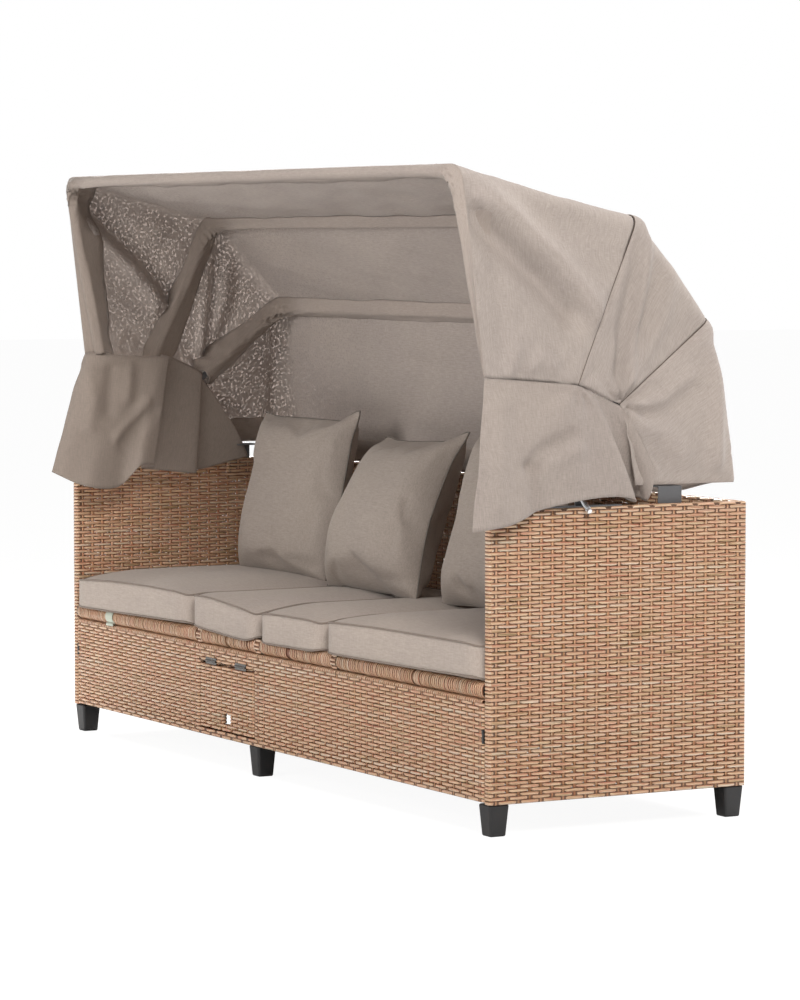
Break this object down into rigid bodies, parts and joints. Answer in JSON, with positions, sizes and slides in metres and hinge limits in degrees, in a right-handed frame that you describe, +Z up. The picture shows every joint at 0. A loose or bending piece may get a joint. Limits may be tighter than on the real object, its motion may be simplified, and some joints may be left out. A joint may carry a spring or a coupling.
{
  "type": "outdoor daybed with canopy",
  "caption": "Outdoor daybed with woven arms, back and apron, loose seat cushions and pillows, and a folding fabric canopy on tube bows.",
  "frame": {"origin": "on the floor, under the middle of the bounding box", "axes": "+X along the seat towards the right arm seen from the front, +Y towards the back, +Z up"},
  "size_m": [2.2796, 0.7746, 1.4826],
  "materials": {
    "weave": "flat woven strands in mixed tan, salmon and brown",
    "steel": "dark powder coat",
    "foot": "moulded, near black",
    "zinc": "zinc plated",
    "chrome": "bright ends with a dark grip",
    "seat_cloth": "light taupe outdoor cloth",
    "pillow_cloth": "darker taupe outdoor cloth",
    "canopy_cloth": "taupe outdoor cloth, lit through from behind",
    "strap": "pale webbing",
    "black_plastic": "moulded, black"
  },
  "bodies": {
    "frame": {"arm_weave_right": "weave", "arm_weave_left": "weave", "arm_frame_right": "steel", "arm_frame_left": "steel", "back_weave": "weave", "back_frame": "steel", "connector_lower_right": "black_plastic", "connector_upper_right": "black_plastic", "connector_lower_left": "black_plastic", "connector_upper_left": "black_plastic", "apron_weave": "weave", "apron_frame": "steel", "hatch_hinge_left": "zinc", "hatch_hinge_right": "zinc", "foot_front_left": "foot", "foot_front_middle": "foot", "foot_front_right": "foot", "foot_rear_left": "foot", "foot_rear_middle": "foot", "foot_rear_right": "foot", "seat_rail": "weave", "seat_frame": "steel", "seat_panel_1": "weave", "seat_panel_2": "weave", "seat_panel_3": "weave", "seat_panel_4": "weave", "seat_cushion_1": "seat_cloth", "seat_cushion_2": "seat_cloth", "seat_cushion_3": "seat_cloth", "seat_cushion_4": "seat_cloth", "cushion_strap": "strap", "back_pillow_1": "pillow_cloth", "back_pillow_2": "pillow_cloth", "back_pillow_3": "pillow_cloth", "canopy_bracket_right": "steel", "canopy_bracket_left": "steel", "pivot_bolt_right": "zinc", "pivot_bolt_left": "zinc", "pivot_nut_right": "zinc", "pivot_nut_left": "zinc", "bow_rest_right": "steel", "bow_rest_left": "steel", "hand_bolt_right": "chrome", "hand_bolt_left": "chrome", "skirt_right": "canopy_cloth", "skirt_left": "canopy_cloth"},
    "rear_bow": {"rear_bow": "steel", "canopy_rear": "canopy_cloth"},
    "middle_bow": {"middle_bow": "steel", "canopy_middle": "canopy_cloth"},
    "front_bow": {"front_bow": "steel", "canopy_front": "canopy_cloth"},
    "hatch": {"hatch_door": "weave", "hatch_leaf_left": "zinc", "hatch_leaf_right": "zinc"}
  },
  "joints": [
    {"name": "canopy_fold", "type": "hinge", "parent": "frame", "child": "rear_bow", "pos_m": [-0.012, -0.19274, 0.745], "axis": [-1, 0, 0], "range_deg": [0, 33.5], "deforming": ["canopy_rear", "skirt_right", "skirt_left"]},
    {"name": "middle_bow_fold", "type": "hinge", "parent": "rear_bow", "child": "middle_bow", "pos_m": [-0.012, -0.19274, 0.745], "axis": [-1, 0, 0], "range_deg": [0, 21.6], "deforming": ["canopy_middle"]},
    {"name": "front_bow_fold", "type": "hinge", "parent": "middle_bow", "child": "front_bow", "pos_m": [-0.012, -0.19274, 0.745], "axis": [-1, 0, 0], "range_deg": [0, 32], "deforming": ["canopy_front"]},
    {"name": "hatch_hinge", "type": "hinge", "parent": "frame", "child": "hatch", "pos_m": [-0.1991, -0.29544, 0.26375], "axis": [-1, 0, 0], "range_deg": [0, 95]}
  ],
  "couplings": [
    {"joint": "middle_bow_fold", "follows": "canopy_fold", "ratio": 0.64},
    {"joint": "front_bow_fold", "follows": "canopy_fold", "ratio": 0.95}
  ]
}
